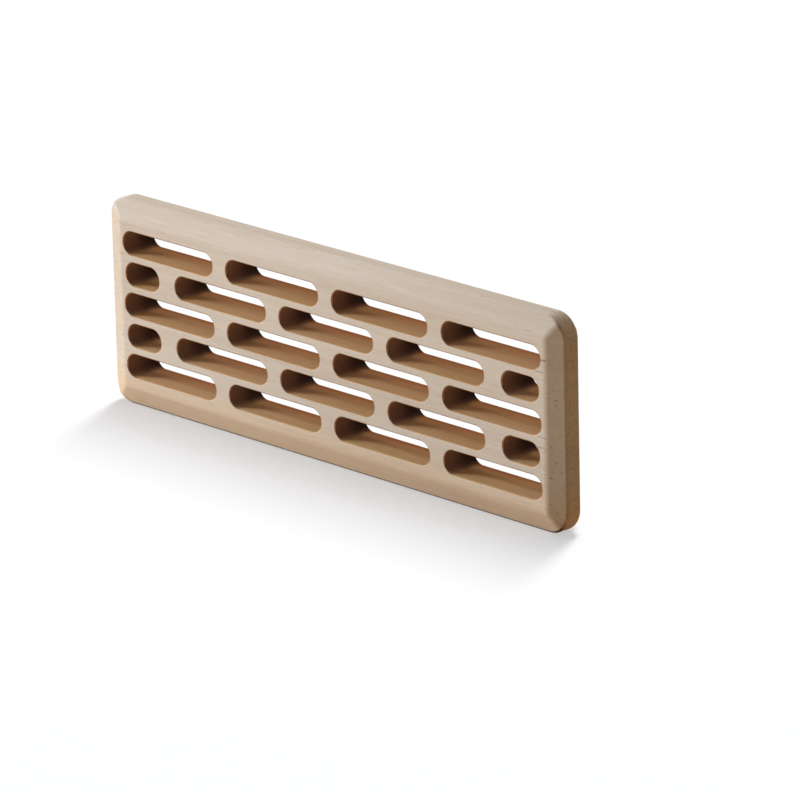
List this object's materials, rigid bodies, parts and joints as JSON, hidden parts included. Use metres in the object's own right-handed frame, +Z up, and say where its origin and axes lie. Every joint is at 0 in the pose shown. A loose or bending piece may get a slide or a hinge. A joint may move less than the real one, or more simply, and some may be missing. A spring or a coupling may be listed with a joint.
{
  "type": "wooden ventilation grille",
  "caption": "Flat wooden ventilation grille: a round-cornered board with a bevelled face, staggered rows of long through slots and a spigot behind its flange.",
  "frame": {"origin": "centre of the panel cut-out, in the plane of the panel's face that the flange lies against", "axes": "+X along the board, +Z up, -Y towards the room, +Y into the cut-out"},
  "size_m": [0.2376, 0.015, 0.08],
  "materials": {
    "pale_wood": "fine-sanded, untreated"
  },
  "bodies": {
    "root": {"grille_board": "pale_wood"}
  },
  "joints": []
}
